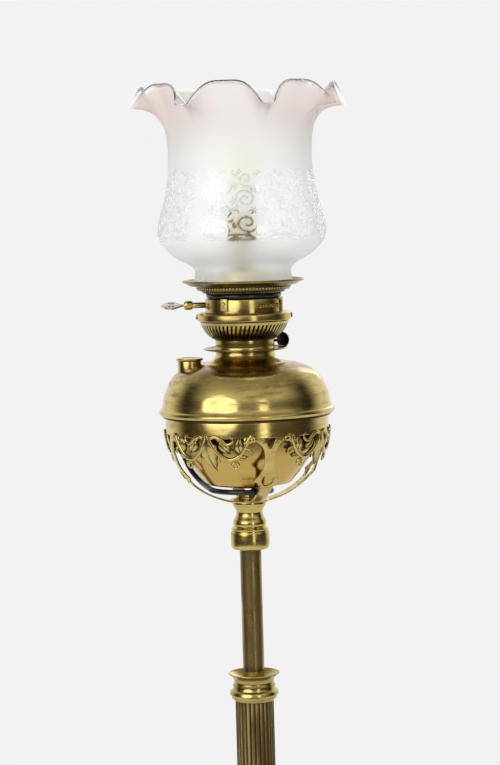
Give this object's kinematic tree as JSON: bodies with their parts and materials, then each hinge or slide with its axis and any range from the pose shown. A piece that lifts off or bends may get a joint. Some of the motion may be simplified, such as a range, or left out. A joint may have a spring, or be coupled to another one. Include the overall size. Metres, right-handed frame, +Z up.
{
  "type": "floor oil lamp",
  "caption": "Telescopic brass floor oil lamp with pierced leaf cradle, slotted burner, winding gallery and crimped frosted shade, fitted with an electric bulb on a black flex.",
  "frame": {"origin": "on the floor at the centre of the round base, which is the axis of the column", "axes": "+Z up the column, -Y towards the viewer of the picture, +X to the viewer's right"},
  "size_m": [0.3, 0.4398, 1.5036],
  "materials": {
    "brass": "polished brass with faint turning lines, light stains and darker edges",
    "aged_brass": "polished brass under a darker uneven patina",
    "dark_brass": "almost black patinated brass, worn brighter on the rims",
    "iron": "rough cast iron, hidden inside the base",
    "steel": "plain bright metal, slightly dulled",
    "shade_glass": "acid-frosted glass with a clear scrolled band and a faint pink tint towards the crimped rim",
    "bulb_glass": "pearl glass with a warm tint",
    "white_moulding": "smooth white moulding",
    "black_moulding": "smooth black moulding, finely grained",
    "flex": "glossy black flexible sheath"
  },
  "bodies": {
    "stand": {"base_shell": "brass", "base_weight": "iron", "paw_foot_1": "brass", "paw_foot_2": "brass", "paw_foot_3": "brass", "paw_foot_4": "brass", "base_knop": "brass", "base_nut": "brass", "column_collar": "brass", "column": "aged_brass", "column_ferrule": "brass", "grip_collet": "brass", "flex_column": "flex", "cord_bush": "flex", "flex_lead": "flex", "flex_coil": "flex", "flex_tail": "flex", "plug": "black_moulding"},
    "clamp": {"clamp_nut": "brass"},
    "guide": {"guide_bush": "brass"},
    "head": {"inner_tube": "aged_brass", "stem_socket": "brass", "font_cradle": "brass", "cradle_nut": "brass", "flex_cradle": "flex", "flex_drop": "flex", "flex_stem": "flex"},
    "font": {"font_bowl": "brass", "font_dome": "brass", "filler_neck": "brass", "drip_saucer": "brass", "burner_neck": "brass", "burner_basket": "brass", "burner_belt": "brass", "burner_drum": "brass", "burner_core": "brass", "burner_cone": "brass", "wick_tube_1": "aged_brass", "wick_tube_2": "aged_brass", "drum_catch": "steel", "spring_bracket": "brass", "catch_spring": "steel", "lift_stub": "brass", "holder_body": "brass", "holder_insert": "black_moulding", "holder_ring": "white_moulding", "flex_turn": "flex"},
    "cap": {"filler_cap": "brass"},
    "winder_1": {"wick_winder_1": "dark_brass"},
    "winder_2": {"wick_winder_2": "dark_brass"},
    "lift": {"lift_shaft": "brass", "lift_key": "steel"},
    "gallery": {"gallery_ring": "brass", "gallery_skirt": "brass", "gallery_rack": "brass"},
    "shade": {"glass_shade": "shade_glass"},
    "bulb": {"bulb_cap": "steel", "bulb_glass": "bulb_glass"}
  },
  "joints": [
    {"name": "clamp_turn", "type": "hinge", "parent": "stand", "child": "clamp", "pos_m": [0, 0, 0.9], "axis": [0, 0, 1], "range_deg": [0, 270]},
    {"name": "stem_slide", "type": "slide", "parent": "stand", "child": "guide", "axis": [0, 0, 1], "range_m": [-0.1, 0.38]},
    {"name": "head_swivel", "type": "hinge", "parent": "guide", "child": "head", "pos_m": [0, 0, 0.9], "axis": [0, 0, 1], "range_deg": [-180, 180]},
    {"name": "font_lift", "type": "slide", "parent": "head", "child": "font", "axis": [0, 0, 1], "range_m": [0, 0.12], "deforming": ["flex_drop"]},
    {"name": "cap_lift", "type": "slide", "parent": "font", "child": "cap", "axis": [0, 0, 1], "range_m": [0, 0.03]},
    {"name": "winder_turn_1", "type": "hinge", "parent": "font", "child": "winder_1", "pos_m": [-0.00805, 0.0075, 1.2434], "axis": [0.682, 0.7314, 0], "continuous": true},
    {"name": "winder_turn_2", "type": "hinge", "parent": "font", "child": "winder_2", "pos_m": [0.00805, -0.0075, 1.2434], "axis": [0.682, 0.7314, 0], "continuous": true},
    {"name": "gallery_lift", "type": "slide", "parent": "font", "child": "gallery", "axis": [0, 0, 1], "range_m": [0, 0.013]},
    {"name": "key_turn", "type": "hinge", "parent": "font", "child": "lift", "pos_m": [0, 0, 1.2816], "axis": [1, 0, 0], "range_deg": [0, 150]},
    {"name": "shade_lift", "type": "slide", "parent": "gallery", "child": "shade", "axis": [0, 0, 1], "range_m": [0, 0.2]},
    {"name": "bulb_lift", "type": "slide", "parent": "font", "child": "bulb", "axis": [0, 0, 1], "range_m": [0, 0.08]}
  ],
  "couplings": [
    {"joint": "key_turn", "follows": "gallery_lift", "rad_per_m": 200}
  ]
}
